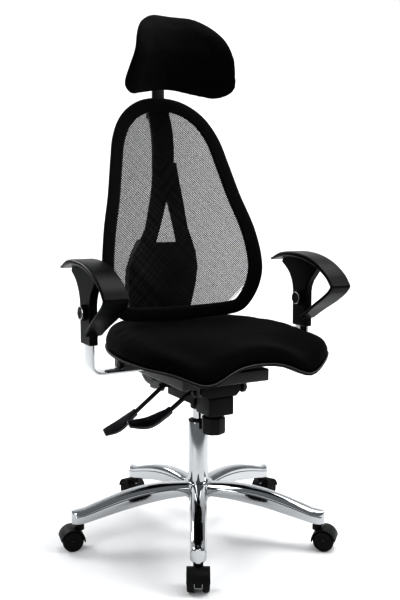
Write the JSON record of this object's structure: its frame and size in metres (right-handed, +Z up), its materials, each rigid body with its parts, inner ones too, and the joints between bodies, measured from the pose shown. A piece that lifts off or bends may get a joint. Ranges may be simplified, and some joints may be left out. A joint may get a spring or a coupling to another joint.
{
  "type": "swivel office chair",
  "caption": "High-back swivel office chair with a saddle seat, net back, headrest, loop arms, tilt mechanism, gas lift and chromed star base on castors.",
  "frame": {"origin": "middle of the chair's footprint, on the floor", "axes": "-Y is the way the chair faces, +X is the sitter's left and +Z is up"},
  "size_m": [0.6764, 0.6689, 1.295],
  "materials": {
    "chrome": "polished",
    "zinc_steel": "satin",
    "black_nylon": "satin",
    "grey_nylon": "satin",
    "black_steel": "satin",
    "castor_tread": "matt",
    "seat_cloth": "matt",
    "head_cloth": "matt",
    "back_net": "matt"
  },
  "bodies": {
    "base": {"base_star": "chrome", "column_tube": "chrome", "column_bush": "black_nylon", "thrust_bearing": "zinc_steel", "castor_stem_1": "zinc_steel", "castor_stem_2": "zinc_steel", "castor_stem_3": "zinc_steel", "castor_stem_4": "zinc_steel", "castor_stem_5": "zinc_steel"},
    "lift_rod": {"piston_rod": "zinc_steel"},
    "mechanism": {"gas_cylinder": "chrome", "mechanism_housing": "black_nylon", "tension_block": "black_nylon", "tension_spring": "zinc_steel", "seat_axle": "zinc_steel", "back_axle": "zinc_steel"},
    "tension_adjuster": {"tension_knob": "grey_nylon"},
    "height_lever": {"height_lever_rod": "black_steel", "height_lever_grip": "grey_nylon"},
    "tilt_lever": {"tilt_lever_rod": "black_steel", "tilt_lever_grip": "grey_nylon"},
    "seat": {"seat_carrier": "black_nylon", "seat_pan": "grey_nylon", "seat_cushion": "seat_cloth"},
    "back_arm": {"back_carrier": "black_steel", "lumbar_plate": "black_nylon"},
    "backrest": {"back_spine": "black_nylon", "back_frame": "back_net", "back_mesh": "back_net"},
    "headrest_post": {"headrest_bar": "black_steel"},
    "headrest": {"headrest_shell": "black_nylon", "headrest_pad": "head_cloth"},
    "arm_right_bar": {"arm_bar_right": "chrome"},
    "arm_right": {"arm_rest_right": "grey_nylon"},
    "arm_right_knob": {"arm_knob_right": "black_nylon"},
    "arm_right_clamp": {"arm_clamp_knob_right": "black_nylon"},
    "arm_left_bar": {"arm_bar_left": "chrome"},
    "arm_left": {"arm_rest_left": "grey_nylon"},
    "arm_left_knob": {"arm_knob_left": "black_nylon"},
    "arm_left_clamp": {"arm_clamp_knob_left": "black_nylon"},
    "castor_1": {"castor_hood_1": "black_nylon", "castor_axle_1": "zinc_steel"},
    "castor_1_wheel_a": {"castor_wheel_1a": "castor_tread"},
    "castor_1_wheel_b": {"castor_wheel_1b": "castor_tread"},
    "castor_2": {"castor_hood_2": "black_nylon", "castor_axle_2": "zinc_steel"},
    "castor_2_wheel_a": {"castor_wheel_2a": "castor_tread"},
    "castor_2_wheel_b": {"castor_wheel_2b": "castor_tread"},
    "castor_3": {"castor_hood_3": "black_nylon", "castor_axle_3": "zinc_steel"},
    "castor_3_wheel_a": {"castor_wheel_3a": "castor_tread"},
    "castor_3_wheel_b": {"castor_wheel_3b": "castor_tread"},
    "castor_4": {"castor_hood_4": "black_nylon", "castor_axle_4": "zinc_steel"},
    "castor_4_wheel_a": {"castor_wheel_4a": "castor_tread"},
    "castor_4_wheel_b": {"castor_wheel_4b": "castor_tread"},
    "castor_5": {"castor_hood_5": "black_nylon", "castor_axle_5": "zinc_steel"},
    "castor_5_wheel_a": {"castor_wheel_5a": "castor_tread"},
    "castor_5_wheel_b": {"castor_wheel_5b": "castor_tread"}
  },
  "joints": [
    {"name": "seat_swivel", "type": "hinge", "parent": "base", "child": "lift_rod", "pos_m": [0.01, -0.016, 0.1], "axis": [0, 0, 1], "continuous": true},
    {"name": "gas_lift", "type": "slide", "parent": "lift_rod", "child": "mechanism", "axis": [0, 0, 1], "range_m": [-0.02, 0.1]},
    {"name": "tension_turn", "type": "hinge", "parent": "mechanism", "child": "tension_adjuster", "pos_m": [0.01, -0.092, 0.277], "axis": [0, 0, 1], "range_deg": [-720, 720]},
    {"name": "height_lever_lift", "type": "hinge", "parent": "mechanism", "child": "height_lever", "pos_m": [-0.0455, -0.098, 0.388], "axis": [0, 1, 0], "range_deg": [0, 8], "stiffness_Nm_per_rad": 3},
    {"name": "tilt_lever_lift", "type": "hinge", "parent": "mechanism", "child": "tilt_lever", "pos_m": [-0.0455, 0.024, 0.388], "axis": [0, 1, 0], "range_deg": [0, 10]},
    {"name": "back_recline", "type": "hinge", "parent": "mechanism", "child": "back_arm", "pos_m": [0.01, 0.058, 0.372], "axis": [-1, 0, 0], "range_deg": [0, 20], "stiffness_Nm_per_rad": 60, "springref_deg": -28.65},
    {"name": "seat_tilt", "type": "hinge", "parent": "mechanism", "child": "seat", "pos_m": [0.01, -0.121, 0.39], "axis": [-1, 0, 0], "range_deg": [0, 8]},
    {"name": "back_height", "type": "slide", "parent": "back_arm", "child": "backrest", "axis": [0, 0.1386, 0.9903], "range_m": [0, 0.05]},
    {"name": "headrest_height", "type": "slide", "parent": "backrest", "child": "headrest_post", "axis": [0, 0, 1], "range_m": [0, 0.06]},
    {"name": "headrest_tilt", "type": "hinge", "parent": "headrest_post", "child": "headrest", "pos_m": [0.01, 0.201, 1.165], "axis": [1, 0, 0], "range_deg": [-15, 20]},
    {"name": "arm_width_right", "type": "slide", "parent": "seat", "child": "arm_right_bar", "axis": [-1, 0, 0], "range_m": [0, 0.03]},
    {"name": "arm_height_right", "type": "slide", "parent": "arm_right_bar", "child": "arm_right", "axis": [0, 0, 1], "range_m": [-0.03, 0.07]},
    {"name": "arm_knob_turn_right", "type": "hinge", "parent": "arm_right", "child": "arm_right_knob", "pos_m": [-0.2963, -0.04, 0.586], "axis": [1, 0, 0], "range_deg": [-180, 180]},
    {"name": "arm_clamp_turn_right", "type": "hinge", "parent": "seat", "child": "arm_right_clamp", "pos_m": [-0.2123, -0.0525, 0.461], "axis": [1, 0, 0], "range_deg": [-180, 180]},
    {"name": "arm_width_left", "type": "slide", "parent": "seat", "child": "arm_left_bar", "axis": [1, 0, 0], "range_m": [0, 0.03]},
    {"name": "arm_height_left", "type": "slide", "parent": "arm_left_bar", "child": "arm_left", "axis": [0, 0, 1], "range_m": [-0.03, 0.07]},
    {"name": "arm_knob_turn_left", "type": "hinge", "parent": "arm_left", "child": "arm_left_knob", "pos_m": [0.2957, -0.04, 0.586], "axis": [1, 0, 0], "range_deg": [-180, 180]},
    {"name": "arm_clamp_turn_left", "type": "hinge", "parent": "seat", "child": "arm_left_clamp", "pos_m": [0.2323, -0.0525, 0.461], "axis": [1, 0, 0], "range_deg": [-180, 180]},
    {"name": "castor_swivel_1", "type": "hinge", "parent": "base", "child": "castor_1", "pos_m": [-0.13641, -0.28014, 0.055], "axis": [0, 0, 1], "continuous": true},
    {"name": "castor_roll_1a", "type": "hinge", "parent": "castor_1", "child": "castor_1_wheel_a", "pos_m": [-0.14562, -0.29675, 0.025], "axis": [0.8746, -0.4848, 0], "continuous": true},
    {"name": "castor_roll_1b", "type": "hinge", "parent": "castor_1", "child": "castor_1_wheel_b", "pos_m": [-0.14562, -0.29675, 0.025], "axis": [0.8746, -0.4848, 0], "continuous": true},
    {"name": "castor_swivel_2", "type": "hinge", "parent": "base", "child": "castor_2", "pos_m": [0.21596, -0.23687, 0.055], "axis": [0, 0, 1], "continuous": true},
    {"name": "castor_roll_2a", "type": "hinge", "parent": "castor_2", "child": "castor_2_wheel_a", "pos_m": [0.22892, -0.25076, 0.025], "axis": [0.7314, 0.682, 0], "continuous": true},
    {"name": "castor_roll_2b", "type": "hinge", "parent": "castor_2", "child": "castor_2_wheel_b", "pos_m": [0.22892, -0.25076, 0.025], "axis": [0.7314, 0.682, 0], "continuous": true},
    {"name": "castor_swivel_3", "type": "hinge", "parent": "base", "child": "castor_3", "pos_m": [0.2837, 0.11163, 0.055], "axis": [0, 0, 1], "continuous": true},
    {"name": "castor_roll_3a", "type": "hinge", "parent": "castor_3", "child": "castor_3_wheel_a", "pos_m": [0.30092, 0.11966, 0.025], "axis": [-0.4226, 0.9063, 0], "continuous": true},
    {"name": "castor_roll_3b", "type": "hinge", "parent": "castor_3", "child": "castor_3_wheel_b", "pos_m": [0.30092, 0.11966, 0.025], "axis": [-0.4226, 0.9063, 0], "continuous": true},
    {"name": "castor_swivel_4", "type": "hinge", "parent": "base", "child": "castor_4", "pos_m": [-0.0268, 0.28375, 0.055], "axis": [0, 0, 1], "continuous": true},
    {"name": "castor_roll_4a", "type": "hinge", "parent": "castor_4", "child": "castor_4_wheel_a", "pos_m": [-0.02912, 0.30261, 0.025], "axis": [-0.9925, -0.1219, 0], "continuous": true},
    {"name": "castor_roll_4b", "type": "hinge", "parent": "castor_4", "child": "castor_4_wheel_b", "pos_m": [-0.02912, 0.30261, 0.025], "axis": [-0.9925, -0.1219, 0], "continuous": true},
    {"name": "castor_swivel_5", "type": "hinge", "parent": "base", "child": "castor_5", "pos_m": [-0.28645, 0.04162, 0.055], "axis": [0, 0, 1], "continuous": true},
    {"name": "castor_roll_5a", "type": "hinge", "parent": "castor_5", "child": "castor_5_wheel_a", "pos_m": [-0.3051, 0.04525, 0.025], "axis": [-0.1908, -0.9816, 0], "continuous": true},
    {"name": "castor_roll_5b", "type": "hinge", "parent": "castor_5", "child": "castor_5_wheel_b", "pos_m": [-0.3051, 0.04525, 0.025], "axis": [-0.1908, -0.9816, 0], "continuous": true}
  ],
  "couplings": [
    {"joint": "seat_tilt", "follows": "back_recline", "ratio": 0.4}
  ]
}
